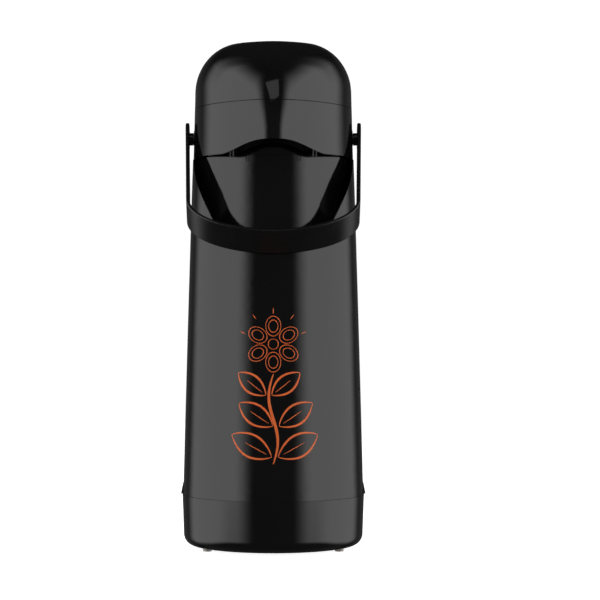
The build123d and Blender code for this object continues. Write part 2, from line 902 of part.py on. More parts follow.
def make_press_button():
    """Crowned pad with a skirt that slides in the guide, a stop flange and a boss for the pusher."""
    outer = button_opening - moving_gap
    inner = outer - button_wall
    low = crown_z - button_skirt
    flange_top = low + button_flange_height
    cap = turned(
        crown_arc(outer, 0)
        + Polyline(
            (outer, crown_height(outer, 0)),
            (outer, flange_top),
            (outer + button_flange, flange_top),
            (outer + button_flange, low),
            (inner, low),
            (inner, crown_height(inner, button_wall)),
        )
        + crown_arc(inner, button_wall)
        + Line((0, crown_height(0, button_wall)), (0, crown_height(0, 0)))
    )
    boss_z = crown_z - boss_height
    under_crown = turned(
        crown_arc(inner, button_wall / 2)
        + Polyline((inner, crown_height(inner, button_wall / 2)), (inner, boss_z), (0, boss_z))
        + Line((0, boss_z), (0, crown_height(0, button_wall / 2)))
    )
    boss = under_crown & disc(boss_radius, boss_z, crown_z + button_crown, y=bellows_y)
    return cap + boss


def make_pusher():
    """Disc that closes the bellows, with a hollow column up to the boss of the button."""
    high = crown_z - boss_height
    plate_high = pusher_z + pusher_disc
    plate = disc(bellows_radius - bellows_fold + clamp_wall, pusher_z, plate_high, y=bellows_y)
    column = ring(pusher_radius, pusher_radius - pusher_wall, plate_high, high, y=bellows_y)
    plate = plate - disc(valve_stem_radius, pusher_z, plate_high, y=bellows_y)
    return plate - valve_ports(pusher_z, plate_high) + column


# Handle


def make_handle():
    """Bent strap with round eyes and inner bosses, drawn hanging straight and then swung forward."""
    low_half = handle_half_width - handle_draw_in
    bow_depth = handle_bow + handle_thickness
    top = handle_eye_radius + over

    def strap_edge(inset):
        """Half of the strap line, drawn in by inset, from above the eye to the middle of the grip."""
        bow = EllipticalCenterArc(
            (0, -handle_arm), low_half - inset, bow_depth - inset, start_angle=270, arc_size=90
        )
        arm = Polyline(
            (low_half - inset, -handle_arm),
            (handle_half_width - inset, 0),
            (handle_half_width - inset, top),
        )
        return bow + arm

    outer_half = strap_edge(0) + Polyline(
        (handle_half_width, top), (0, top), (0, -handle_arm - bow_depth)
    )
    inner_half = strap_edge(handle_thickness) + Polyline(
        (handle_half_width - handle_thickness, top), (0, top), (0, -handle_arm - handle_bow)
    )
    depth = 2 * handle_eye_radius
    band = extrude(Plane.XZ * make_face(outer_half), depth / 2, both=True)
    band = band - extrude(Plane.XZ * make_face(inner_half), depth / 2, both=True)
    band = mirrored_pair(band)
    half_strap = handle_strap / 2
    bottom = -handle_arm - bow_depth - over
    neck = make_face(
        Polyline(
            (-half_strap, bottom),
            (half_strap, bottom),
            (half_strap, -handle_eye_blend),
            (handle_eye_radius, 0),
            (-handle_eye_radius, 0),
            (-half_strap, -handle_eye_blend),
            close=True,
        )
    )
    side = Circle(handle_eye_radius) + neck
    reach = handle_half_width + over
    strap = band & extrude(Plane.YZ * side, reach, both=True)
    strap = fillet(strap_rims(strap), handle_edge)
    inner_x = handle_half_width - handle_thickness
    boss = rod(handle_boss_radius, handle_boss_x, inner_x + handle_boss_sink, 0, 0)
    bore = rod(handle_pin_radius + pin_gap, handle_boss_x, handle_half_width - handle_bore_floor, 0, 0)
    handle = strap + mirrored_pair(boss) - mirrored_pair(bore)
    return Pos(0, 0, pivot_z) * Rot(-handle_rest_angle, 0, 0) * handle


def strap_rims(strap):
    """Long edges of the outer face of the grip and arms."""
    edges = []
    for edge in strap.edges():
        middle = edge @ 0.5
        wide = abs(abs(middle.Y) - handle_strap / 2) < pick_tolerance
        if wide and edge.length > handle_bow:
            edges.append(edge)
    return edges


def main():
    """Build every piece and write one STEP file for each."""
    outer = head_form(0, head_z)
    inner = head_form(head_wall, head_z - over)
    middle = head_form(head_wall / 2, head_z - over)
    room = head_form(head_wall / 2 - seat_gap, head_z - over)
    parts = {
        "base_cap": make_base_cap(),
        "base_feet": make_base_feet(),
        "base_cushion": make_base_cushion(),
        "body_shell": make_body_shell(),
        "collar": make_collar(),
        "liner_outer_glass": make_liner_outer_glass(),
        "liner_inner_glass": make_liner_inner_glass(),
        "liner_spacers": make_liner_spacers(),
        "neck_gasket": make_neck_gasket(),
        "tube_holder": make_tube_holder(),
        "dip_tube": make_dip_tube(),
        "head_hinge_pin": make_head_hinge_pin(),
        "handle_pins": make_handle_pins(),
        "head_housing": make_head_housing(outer, inner, room),
        "hood_cover": make_hood_cover(outer, inner, middle),
        "pump_base": make_pump_base(),
        "pump_screws": make_pump_screws(),
        "mouth_gasket": make_mouth_gasket(),
        "tube_seal": make_tube_seal(),
        "spout_tube": make_spout_tube(),
        "nozzle": make_nozzle(),
        "bellows": make_bellows(),
        "bellows_clamp": make_bellows_clamp(),
        "return_spring": make_return_spring(),
        "outlet_valve": valve(pump_z, pump_plate_z),
        "press_button": make_press_button(),
        "pusher": make_pusher(),
        "inlet_valve": valve(pusher_z, pusher_z + pusher_disc),
        "handle": make_handle(),
    }
    os.makedirs("parts", exist_ok=True)
    for name, solid in parts.items():
        export_step(solid, f"parts/{name}.step")


main()
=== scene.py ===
import logging
import math
from dataclasses import dataclass, field
from enum import Enum

import bpy
import numpy as np
from mathutils import Matrix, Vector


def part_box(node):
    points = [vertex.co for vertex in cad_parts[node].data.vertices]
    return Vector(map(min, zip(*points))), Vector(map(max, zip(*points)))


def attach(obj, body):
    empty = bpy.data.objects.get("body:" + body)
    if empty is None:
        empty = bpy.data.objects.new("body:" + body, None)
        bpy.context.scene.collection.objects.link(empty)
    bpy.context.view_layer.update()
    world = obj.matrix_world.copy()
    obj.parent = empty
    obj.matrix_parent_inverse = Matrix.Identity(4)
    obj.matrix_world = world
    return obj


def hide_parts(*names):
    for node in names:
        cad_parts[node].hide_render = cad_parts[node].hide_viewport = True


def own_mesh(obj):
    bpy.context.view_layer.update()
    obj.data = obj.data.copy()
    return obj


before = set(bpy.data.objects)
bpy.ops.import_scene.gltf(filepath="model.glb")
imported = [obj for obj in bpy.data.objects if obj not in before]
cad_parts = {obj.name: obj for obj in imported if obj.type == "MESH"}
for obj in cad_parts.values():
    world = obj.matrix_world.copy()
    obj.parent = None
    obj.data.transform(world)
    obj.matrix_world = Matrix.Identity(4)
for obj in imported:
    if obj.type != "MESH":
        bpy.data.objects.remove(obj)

# Dresses a black airpot of about one litre: a pump flask with a beaked head and a strap handle.
# Metres, +Z up, the beak towards -Y. Sizes given in millimetres are turned by MM.

MM = 0.001
IMAGE_WIDTH_PX = 600
WHITE = "ffffff"

# Refractive index of ABS
GLOSS_INDEX = 1.52

# Clouds of colour and gloss: the noise and the bands of it that are spread over the whole range
CLOUD_DETAIL = 4.0
CLOUD_ROUGHNESS = 0.6
GLOSS_BAND = (0.35, 0.65)
TINT_BAND = (0.3, 0.7)

# Grain of the skin: roughness of the noise, and how much a drawn skin is stretched upwards
GRAIN_ROUGHNESS = 0.55
BRUSHED_STRETCH = 0.04
BEVEL_SAMPLES = 4

# Dust
DUST_SPACING_MM = 11.0
DUST_GRAIN_MM = 0.35
DUST_COLOUR = "8c8a86"

# Sockets of Blender's Mix node when it mixes colours
MIX_SHARE, MIX_FIRST, MIX_SECOND, MIX_RESULT = 0, 6, 7, 2

log = logging.getLogger("airpot")


class Grain(Enum):
    """How the skin of a finish is textured. The value is the detail of its noise."""

    POLISHED = 1.0
    BRUSHED = 2.0
    SPARKED = 6.0


class Body(Enum):
    """The bodies of the flask that carry new pieces."""

    BODY = "body"
    HEAD = "head"


def linear(colour: str) -> tuple[float, float, float, float]:
    """Turns an sRGB hex colour to linear light, by the curve of the sRGB standard.

    Args:
        colour: Six hex digits.

    Returns:
        Red, green and blue in linear light, and an alpha of one.
    """
    channels = [int(colour[start : start + 2], 16) / 255 for start in (0, 2, 4)]
    light = [c / 12.92 if c <= 0.04045 else ((c + 0.055) / 1.055) ** 2.4 for c in channels]
    return (light[0], light[1], light[2], 1.0)


def add_node(
    tree: bpy.types.NodeTree,
    kind: str,
    settings: dict[str | int, object],
    links: dict[str | int, bpy.types.NodeSocket] | None = None,
) -> bpy.types.Node:
    """Adds one node with its settings and its incoming links.

    Args:
        tree: The tree that gets the node.
        kind: Blender's name of the node type.
        settings: Values by input name, input number or property name.
        links: Output sockets by the input that they feed.

    Returns:
        The new node.
    """
    node = tree.nodes.new(kind)
    for key, value in settings.items():
        if isinstance(key, int) or key in node.inputs:
            node.inputs[key].default_value = value
        else:
            setattr(node, key, value)
    for key, source in (links or {}).items():
        tree.links.new(source, node.inputs[key])
    return node


def new_material(name: str) -> bpy.types.Material:
    """Makes a material whose node tree is still empty.

    Args:
        name: Its name.

    Returns:
        The material.
    """
    material = bpy.data.materials.new(name)
    material.use_nodes = True
    material.node_tree.nodes.clear()
    return material


@dataclass(frozen=True)
class Finish:
    """One real material with the skin that its making gives it.

    Attributes:
        name: Material and making.
        colour: Its sRGB colour in hex digits.
        tint: The colour that its clouds drift to.
        roughness: Roughness at its glossiest and at its dullest.
        grain: How the skin is textured.
        grain_mm: Size of one grain.
        relief_mm: Height of the relief.
        cloud_mm: Size of one cloud.
        edge_mm: Radius that sharp edges seem to have.
        dust: How far a grain of dust covers the colour.
        shader: More settings of the shader, by name.
    """

    name: str
    colour: str
    tint: str
    roughness: tuple[float, float]
    grain: Grain
    grain_mm: float
    relief_mm: float
    cloud_mm: float
    edge_mm: float = 0.0
    dust: float = 0.0
    shader: dict[str, float] = field(default_factory=dict)

    def build(self) -> bpy.types.Material:
        """Makes the material: clouded colour and gloss, the grain as relief and rounded edges.

        Returns:
            The material.
        """
        material = new_material(self.name)
        tree = material.node_tree
        place = add_node(tree, "ShaderNodeTexCoord", {}).outputs["Object"]
        cloud = add_node(
            tree,
            "ShaderNodeTexNoise",
            {"Scale": 1 / (self.cloud_mm * MM), "Detail": CLOUD_DETAIL, "Roughness": CLOUD_ROUGHNESS},
            {"Vector": place},
        ).outputs["Fac"]
        gloss = add_node(
            tree,
            "ShaderNodeMapRange",
            {
                "From Min": GLOSS_BAND[0],
                "From Max": GLOSS_BAND[1],
                "To Min": self.roughness[0],
                "To Max": self.roughness[1],
            },
            {"Value": cloud},
        ).outputs["Result"]
        share = add_node(
            tree,
            "ShaderNodeMapRange",
            {"From Min": TINT_BAND[0], "From Max": TINT_BAND[1]},
            {"Value": cloud},
        ).outputs["Result"]
        colour = add_node(
            tree,
            "ShaderNodeMix",
            {"data_type": "RGBA", MIX_FIRST: linear(self.colour), MIX_SECOND: linear(self.tint)},
            {MIX_SHARE: share},
        ).outputs[MIX_RESULT]
        if self.dust > 0:
            colour = self.dusted(tree, place, colour)
        height = self.grain_height(tree, place)
        relief_links = {"Height": height}
        if self.edge_mm > 0:
            settings = {"samples": BEVEL_SAMPLES, "Radius": self.edge_mm * MM}
            edge = add_node(tree, "ShaderNodeBevel", settings)
            relief_links["Normal"] = edge.outputs["Normal"]
        relief = add_node(
            tree, "ShaderNodeBump", {"Strength": 1.0, "Distance": self.relief_mm * MM}, relief_links
        )
        shader = add_node(
            tree,
            "ShaderNodeBsdfPrincipled",
            dict(self.shader),
            {"Base Color": colour, "Roughness": gloss, "Normal": relief.outputs["Normal"]},
        )
        add_node(tree, "ShaderNodeOutputMaterial", {}, {"Surface": shader.outputs["BSDF"]})
        return material

    def grain_height(
        self, tree: bpy.types.NodeTree, place: bpy.types.NodeSocket
    ) -> bpy.types.NodeSocket:
        """Draws the fine relief of the skin.

        Args:
            tree: The material's node tree.
            place: The socket with the object coordinates.

        Returns:
            The socket with the height, from 0 to 1.
        """
        upwards = BRUSHED_STRETCH if self.grain is Grain.BRUSHED else 1.0
        along = add_node(tree, "ShaderNodeMapping", {"Scale": (1.0, 1.0, upwards)}, {"Vector": place})
        return add_node(
            tree,
            "ShaderNodeTexNoise",
            {
                "Scale": 1 / (self.grain_mm * MM),
                "Detail": self.grain.value,
                "Roughness": GRAIN_ROUGHNESS,
            },
            {"Vector": along.outputs["Vector"]},
        ).outputs["Fac"]

    def dusted(
        self, tree: bpy.types.NodeTree, place: bpy.types.NodeSocket, colour: bpy.types.NodeSocket
    ) -> bpy.types.NodeSocket:
        """Puts sparse grains of dust on the colour.

        Args:
            tree: The material's node tree.
            place: The socket with the object coordinates.
            colour: The socket with the clean colour.

        Returns:
            The socket with the dusted colour.
        """
        cells = add_node(
            tree, "ShaderNodeTexVoronoi", {"Scale": 1 / (DUST_SPACING_MM * MM)}, {"Vector": place}
        )
        speck = add_node(
            tree,
            "ShaderNodeMapRange",
            {
                "From Min": 0.0,
                "From Max": DUST_GRAIN_MM / DUST_SPACING_MM,
                "To Min": self.dust,
                "To Max": 0.0,
            },
            {"Value": cells.outputs["Distance"]},
        ).outputs["Result"]
        return add_node(
            tree,
            "ShaderNodeMix",
            {"data_type": "RGBA", MIX_SECOND: linear(DUST_COLOUR)},
            {MIX_SHARE: speck, MIX_FIRST: colour},
        ).outputs[MIX_RESULT]


# ABS, moulded in a polished tool: a deep black with a clear mirror and a trace of orange peel
GLOSS_BLACK = Finish(
    name="abs_polished_black",
    colour="0a0a0a",
    tint="0d0d0d",
    roughness=(0.07, 0.1),
    grain=Grain.POLISHED,
    grain_mm=2.6,
    relief_mm=0.003,
    cloud_mm=38.0,
    edge_mm=0.35,
    dust=0.2,
    shader={"IOR": GLOSS_INDEX},
)

# Polypropylene, moulded: the strap is a shade duller than the shells
STRAP_BLACK = Finish(
    name="polypropylene_moulded_black",
    colour="0c0c0c",
    tint="101010",
    roughness=(0.22, 0.28),
    grain=Grain.POLISHED,
    grain_mm=1.6,
    relief_mm=0.006,
    cloud_mm=24.0,
    edge_mm=0.4,
    dust=0.2,
    shader={"IOR": 1.49},
)

# Polypropylene, spark-eroded tool: dark inner mouldings with a dull, even skin
INNER_BLACK = Finish(
    name="polypropylene_satin_black",
    colour="1a1a1a",
    tint="222221",
    roughness=(0.42, 0.5),
    grain=Grain.SPARKED,
    grain_mm=0.6,
    relief_mm=0.02,
    cloud_mm=30.0,
    edge_mm=0.3,
    shader={"IOR": 1.49},
)

# Polypropylene, extruded thin: the riser and spout let some light through
TUBE_CLEAR = Finish(
    name="polypropylene_extruded_natural",
    colour="d2d5d2",
    tint="c6cac8",
    roughness=(0.28, 0.34),
    grain=Grain.BRUSHED,
    grain_mm=0.9,
    relief_mm=0.01,
    cloud_mm=26.0,
    shader={"IOR": 1.49, "Transmission Weight": 0.35},
)

# Natural rubber, press moulded: matt black with a dusty bloom
RUBBER_BLACK = Finish(
    name="rubber_moulded_black",
    colour="161616",
    tint="242423",
    roughness=(0.62, 0.78),
    grain=Grain.SPARKED,
    grain_mm=0.5,
    relief_mm=0.03,
    cloud_mm=12.0,
    edge_mm=0.3,
    shader={"IOR": 1.52},
)

# Silicone, press moulded: milky and slightly greasy
SILICONE_MILK = Finish(
    name="silicone_moulded_milky",
    colour="cfccc4",
    tint="c2bfb6",
    roughness=(0.34, 0.46),
    grain=Grain.SPARKED,
    grain_mm=0.8,
    relief_mm=0.015,
    cloud_mm=14.0,
    edge_mm=0.2,
    shader={"IOR": 1.41, "Subsurface Weight": 0.3, "Subsurface Scale": 0.003},
)

# Polyethylene foam, cut: dark and pitted
FOAM_DARK = Finish(
    name="polyethylene_foam_grey",
    colour="4c4c4a",
    tint="3c3c3a",
    roughness=(0.85, 0.95),
    grain=Grain.SPARKED,
    grain_mm=1.4,
    relief_mm=0.25,
    cloud_mm=9.0,
    shader={"IOR": 1.5},
)

# Glass, blown and silvered between the walls: a clear mirror with faint drawn streaks
SILVERED_GLASS = Finish(
    name="glass_blown_silvered",
    colour="dfe2e4",
    tint="cfd3d6",
    roughness=(0.04, 0.09),
    grain=Grain.BRUSHED,
    grain_mm=9.0,
    relief_mm=0.06,
    cloud_mm=40.0,
    shader={"Metallic": 1.0, "Coat Weight": 0.6, "Coat Roughness": 0.02},
)

# Stainless steel, drawn and turned: grey with fine lines
STEEL_DRAWN = Finish(
    name="stainless_steel_drawn",
    colour="b9babb",
    tint="a4a6a8",
    roughness=(0.22, 0.34),
    grain=Grain.BRUSHED,
    grain_mm=0.35,
    relief_mm=0.01,
    cloud_mm=8.0,
    edge_mm=0.15,
    shader={"Metallic": 1.0},
)

# Spring steel, coiled: darker, with the oil of its winding
STEEL_SPRING = Finish(
    name="spring_steel_oiled",
    colour="8e8c88",
    tint="6f6d69",
    roughness=(0.26, 0.4),
    grain=Grain.BRUSHED,
    grain_mm=0.3,
    relief_mm=0.01,
    cloud_mm=6.0,
    shader={"Metallic": 1.0},
)

# Pad-printed enamel ink: a thin dull orange film with small thin spots
INK_ORANGE = Finish(
    name="ink_pad_printed_orange",
    colour="ff7a3a",
    tint="f66e32",
    roughness=(0.4, 0.5),
    grain=Grain.SPARKED,
    grain_mm=1.2,
    relief_mm=0.01,
    cloud_mm=7.0,
    shader={"IOR": 1.5},
)


class Wardrobe:
    """Makes each finish once and hands it to the pieces."""

    def __init__(self) -> None:
        """Starts with no finish made."""
        self.made: dict[str, bpy.types.Material] = {}

    def material(self, finish: Finish) -> bpy.types.Material:
        """Gives the material of a finish, made at its first use.

        Args:
            finish: The finish that is asked for.

        Returns:
            Its material.
        """
        if finish.name not in self.made:
            self.made[finish.name] = finish.build()
        return self.made[finish.name]

    def dress(self, piece: bpy.types.Object, finish: Finish) -> None:
        """Gives a piece one finish all over."""
        piece.data.materials.clear()
        piece.data.materials.append(self.material(finish))

    def dress_nodes(self, finish: Finish, names: tuple[str, ...]) -> None:
        """Gives several CAD nodes one finish.

        Args:
            finish: Their finish.
            names: The nodes.
        """
        for name in names:
            self.dress(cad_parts[name], finish)
            log.info("dressed %s in %s", name, finish.name)


def full_turn(steps: int) -> np.ndarray:
    """Gives the angles of a full turn in equal steps, without the one that closes it."""
    return np.linspace(0, 2 * np.pi, steps, endpoint=False)


def vertex_points(mesh: bpy.types.Mesh) -> np.ndarray:
    """Reads the vertices of a mesh.

    Args:
        mesh: The mesh.

    Returns:
        Rows of three coordinates, in metres.
    """
    flat = np.zeros(len(mesh.vertices) * 3)
    mesh.vertices.foreach_get("co", flat)
    return flat.reshape(-1, 3)


def add_object(name: str, data: bpy.types.ID) -> bpy.types.Object:
    """Adds an object to the scene.

    Args:
        name: Its name.
        data: Its mesh, camera or light.

    Returns:
        The object, at the origin.
    """
    added = bpy.data.objects.new(name, data)
    bpy.context.scene.collection.objects.link(added)
    return added


def smooth_piece(
    name: str, vertices: list[list[float]], faces: list[list[int]]
) -> bpy.types.Object:
    """Adds a smooth mesh object.

    Args:
        name: The piece's name.
        vertices: Its points, in metres.
        faces: The vertex numbers of each face.

    Returns:
        The object, at the origin.
    """
    mesh = bpy.data.meshes.new(name)
    mesh.from_pydata(vertices, [], faces)
    mesh.validate()
    mesh.polygons.foreach_set("use_smooth", np.ones(len(mesh.polygons), dtype=bool))
    mesh.update()
    return add_object(name, mesh)


def grid_piece(
    name: str,
    points: np.ndarray,
    close_across: bool = False,
    close_along: bool = False,
    caps: bool = False,
) -> bpy.types.Object:
    """Puts a grid of points into a smooth mesh object.

    Rows run along the shape and columns across it. A quad joins each four neighbours, a closed way
    joins its last line to its first, and a cap is a fan about the mean of an end row.

    Args:
        name: The piece's name.
        points: Array of rows, columns and three coordinates, in metres.
        close_across: Whether the last column joins the first.
        close_along: Whether the last row joins the first.
        caps: Whether the end rows are closed.

    Returns:
        The object, at the origin.
    """
    rows, columns = points.shape[:2]
    number = np.arange(rows * columns).reshape(rows, columns)
    across = np.concatenate([number, number[:, :1]], axis=1) if close_across else number
    both = np.concatenate([across, across[:1]], axis=0) if close_along else across
    quads = np.stack([both[:-1, :-1], both[:-1, 1:], both[1:, 1:], both[1:, :-1]], axis=-1)
    vertices = points.reshape(-1, 3)
    faces = quads.reshape(-1, 4).tolist()
    if caps:
        ends = np.stack([points[0].mean(axis=0), points[-1].mean(axis=0)])
        first, last = len(vertices), len(vertices) + 1
        vertices = np.concatenate([vertices, ends])
        start, end = across[0], across[-1]
        faces += np.stack([start[1:], start[:-1], np.full(len(start) - 1, first)], axis=-1).tolist()
        faces += np.stack([end[:-1], end[1:], np.full(len(end) - 1, last)], axis=-1).tolist()
    return smooth_piece(name, vertices.tolist(), faces)


def join_pieces(name: str, pieces: list[bpy.types.Object]) -> bpy.types.Object:
    """Joins several mesh objects at the origin into one.

    Args:
        name: The joined piece's name.
        pieces: The objects, which are used up.

    Returns:
        The joined object.
    """
    counts = np.cumsum([0] + [len(p.data.vertices) for p in pieces])
    vertices: list[list[float]] = []
    faces: list[list[int]] = []
    for piece, start in zip(pieces, counts):
        vertices += vertex_points(piece.data).tolist()
        faces += [[int(start) + v for v in polygon.vertices] for polygon in piece.data.polygons]
        bpy.data.objects.remove(piece)
    return smooth_piece(name, vertices, faces)


@dataclass
class BodyGroup:
    """Base, shell, collar, liner and the printed sprig on the front.

    The fields are lengths in metres, angles in degrees, counts, and shares of the length or width
    that they are named for.
    """

    wardrobe: Wardrobe
    shell_seam: float = 37.0 * MM
    shell_rim: float = 268.5 * MM
    shell_bulge: float = 0.2 * MM
    edge_band: float = 1.2 * MM
    print_low: float = 62.0 * MM
    stem_height: float = 60.0 * MM
    stem_sway: float = 3.0 * MM
    stem_points: int = 72
    print_lift: float = 0.07 * MM
    brush: float = 2.0 * MM
    pen: float = 0.55 * MM
    stroke_sides: int = 10
    stroke_tip: float = 0.02
    loop_swell: float = 0.15
    leaf_pairs: int = 3
    leaf_first: float = 0.06
    leaf_spread: float = 0.68
    leaf_length: float = 31.0 * MM
    leaf_step: float = 3.5 * MM
    leaf_gap: float = 2.6 * MM
    leaf_rise: float = 28.0
    leaf_rise_step: float = 5.0
    leaf_width: float = 0.24
    leaf_roundness: float = 0.8
    leaf_stroke: float = 0.75
    leaf_points: int = 40
    vein_span: tuple[float, float] = (0.12, 0.66)
    vein_points: int = 24
    eye_radius: float = 3.4 * MM
    petals: int = 6
    petal_reach: float = 12.0 * MM
    petal_length: float = 0.55
    petal_width: float = 0.42
    petal_loops: tuple[float, float] = (1.0, 0.62)
    loop_points: int = 48
    blossom_rise: float = 20.0 * MM
    dash_headings: tuple[float, ...] = (20.0, 55.0, 90.0, 125.0, 160.0)
    dash_reach: float = 20.0 * MM
    dash_length: float = 4.0 * MM
    dash_points: int = 12

    def build(self) -> None:
        """Dresses the nodes of the body and adds the print."""
        self.wardrobe.dress_nodes(GLOSS_BLACK, ("base_cap", "body_shell", "collar"))
        self.wardrobe.dress_nodes(FOAM_DARK, ("base_cushion", "liner_spacers"))
        self.wardrobe.dress_nodes(INNER_BLACK, ("tube_holder",))
        self.wardrobe.dress_nodes(TUBE_CLEAR, ("dip_tube",))
        self.wardrobe.dress_nodes(SILICONE_MILK, ("neck_gasket", "base_feet"))
        self.wardrobe.dress_nodes(SILVERED_GLASS, ("liner_outer_glass", "liner_inner_glass"))
        self.wardrobe.dress_nodes(STEEL_DRAWN, ("head_hinge_pin", "handle_pins"))
        self.build_print()

    def shell_radius(self, height: np.ndarray) -> np.ndarray:
        """Outer radius of the shell: a straight line from seam to rim plus a shallow bulge.

        The radius at either end is the largest distance from the axis of the shell's front vertices
        there. The bulge is full half way up and falls off with the square of the way to the ends.

        Args:
            height: Heights above the table.

        Returns:
            The radius at each height.
        """
        points = vertex_points(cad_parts["body_shell"].data)
        front = points[np.abs(points[:, 0]) < -points[:, 1]]
        reach = np.hypot(front[:, 0], front[:, 1])
        low, high = (
            reach[np.abs(front[:, 2] - end) < self.edge_band].max()
            for end in (self.shell_seam, self.shell_rim)
        )
        way = (height - self.shell_seam) / (self.shell_rim - self.shell_seam)
        return low + (high - low) * way + 4 * self.shell_bulge * way * (1 - way)

    def wrap(self, across: np.ndarray, height: np.ndarray, lift: np.ndarray) -> np.ndarray:
        """Lays flat coordinates on the front of the shell.

        The angle from the front is the distance across over the radius, and the lift adds to the
        radius.

        Args:
            across: Distance to the right of the front line.
            height: Height above the table.
            lift: Height above the skin.

        Returns:
            Points in space.
        """
        radius = self.shell_radius(height)
        angle = across / radius
        reach = radius + lift
        return np.stack([reach * np.sin(angle), -reach * np.cos(angle), height], axis=-1)

    def brush_stroke(
        self, name: str, path: np.ndarray, width: float, closed: bool = False
    ) -> bpy.types.Object:
        """One brush stroke of ink: a flat ellipse carried along a path on the shell.

        An open stroke swells from its ends to its middle by the square root of a sine, and a loop
        by a cosine, twice round. The section is an ellipse half sunk in the skin.

        Args:
            name: Name of the mesh.
            path: Rows of distance across and height.
            width: Width at the middle.
            closed: Whether the path is a loop.

        Returns:
            The stroke.
        """
        share = np.linspace(0, 1, len(path))
        if closed:
            ahead = np.roll(path, -1, axis=0) - np.roll(path, 1, axis=0)
            swell = 1 - self.loop_swell + self.loop_swell * np.cos(4 * np.pi * share)
        else:
            ahead = np.gradient(path, axis=0)
            swell = np.sqrt(np.sin(np.pi * (self.stroke_tip + (1 - 2 * self.stroke_tip) * share)))
        ahead /= np.linalg.norm(ahead, axis=1, keepdims=True)
        side = np.stack([ahead[:, 1], -ahead[:, 0]], axis=1)
        turn = full_turn(self.stroke_sides)
        reach = (width / 2 * swell)[:, None] * np.cos(turn)[None, :]
        lift = self.print_lift * np.sin(turn)[None, :] * np.ones_like(reach)
        flat = path[:, None, :] + reach[:, :, None] * side[:, None, :]
        points = self.wrap(flat[..., 0], flat[..., 1], lift)
        return grid_piece(name, points, close_across=True, close_along=closed, caps=not closed)

    def build_print(self) -> None:
        """Adds the print: a sprig with paired leaves, a round blossom and short dashes."""
        stem = self.on_stem(np.linspace(0, 1, self.stem_points))
        strokes = [self.brush_stroke("stem", stem, self.brush)]
        for index in range(self.leaf_pairs):
            place = self.leaf_first + self.leaf_spread * index / (self.leaf_pairs - 1)
            root = self.on_stem(np.array([place]))[0]
            length = self.leaf_length - self.leaf_step * index
            rise = math.radians(self.leaf_rise + self.leaf_rise_step * index)
            for side in (-1, 1):
                strokes += self.leaf(root, side, length, rise)
        centre = self.on_stem(np.array([1.0]))[0] + np.array([0.0, self.blossom_rise])
        strokes += self.blossom(centre)
        strokes += self.dashes(centre)
        piece = join_pieces("front_print", strokes)
        self.wardrobe.dress(piece, INK_ORANGE)
        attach(piece, Body.BODY.value)
        log.info("piece front_print: %d faces", len(piece.data.polygons))

    def on_stem(self, share: np.ndarray) -> np.ndarray:
        """Across and height of the stem at shares of its length: one sine wave while it climbs."""
        across = self.stem_sway * np.sin(2 * np.pi * share)
        return np.stack([across, self.print_low + share * self.stem_height], axis=-1)

    def leaf(self, root: np.ndarray, side: int, length: float, rise: float) -> list[bpy.types.Object]:
        """A leaf drawn in outline with its vein.

        The outline is a pointed loop: the half width is a sine along the length, raised to the
        power that makes it round.

        Args:
            root: Where it leaves the stem.
            side: -1 for left, 1 for right.
            length: Length of the leaf.
            rise: Its angle above the level, in radians.

        Returns:
            Its strokes.
        """
        along = np.array([side * math.cos(rise), math.sin(rise)])
        up = np.array([-math.sin(rise) * side, math.cos(rise)])
        share = np.linspace(0, 1, self.leaf_points)
        width = self.leaf_width * length * np.sin(np.pi * share) ** self.leaf_roundness
        start = root + self.leaf_gap * along
        strokes = []
        for way in (-1, 1):
            path = start + length * share[:, None] * along + way * width[:, None] * up
            strokes.append(self.brush_stroke("leaf", path, self.leaf_stroke * self.brush))
        vein = start + length * np.linspace(*self.vein_span, self.vein_points)[:, None] * along
        strokes.append(self.brush_stroke("vein", vein, self.pen))
        return strokes

    def blossom(self, centre: np.ndarray) -> list[bpy.types.Object]:
        """A round blossom in pen lines: petals as double loops about a small ring.

        Each loop is an ellipse whose long way points out from the ring.

        Args:
            centre: Middle of the blossom.

        Returns:
            Its strokes.
        """
        turn = full_turn(self.loop_points)
        ring = centre + self.eye_radius * np.stack([np.cos(turn), np.sin(turn)], axis=-1)
        strokes = [self.brush_stroke("eye", ring, self.pen, closed=True)]
        for index in range(self.petals):
            heading = math.pi / 2 + 2 * math.pi * index / self.petals
            out = np.array([math.cos(heading), math.sin(heading)])
            side = np.array([-out[1], out[0]])
            for share in self.petal_loops:
                size = share * self.petal_reach
                path = (
                    centre
                    + self.petal_reach * out
                    + self.petal_length * size * np.cos(turn)[:, None] * out
                    + self.petal_width * size * np.sin(turn)[:, None] * side
                )
                strokes.append(self.brush_stroke("petal", path, self.pen, closed=True))
        return strokes

    def dashes(self, blossom: np.ndarray) -> list[bpy.types.Object]:
        """Short dashes that fan out above the blossom.

        Args:
            blossom: Middle of the blossom.

        Returns:
            The dashes.
        """
        strokes = []
        reach = np.linspace(self.dash_reach, self.dash_reach + self.dash_length, self.dash_points)
        for heading in np.radians(self.dash_headings):
            out = np.array([math.cos(heading), math.sin(heading)])
            strokes.append(self.brush_stroke("dash", blossom + reach[:, None] * out, self.pen))
        return strokes


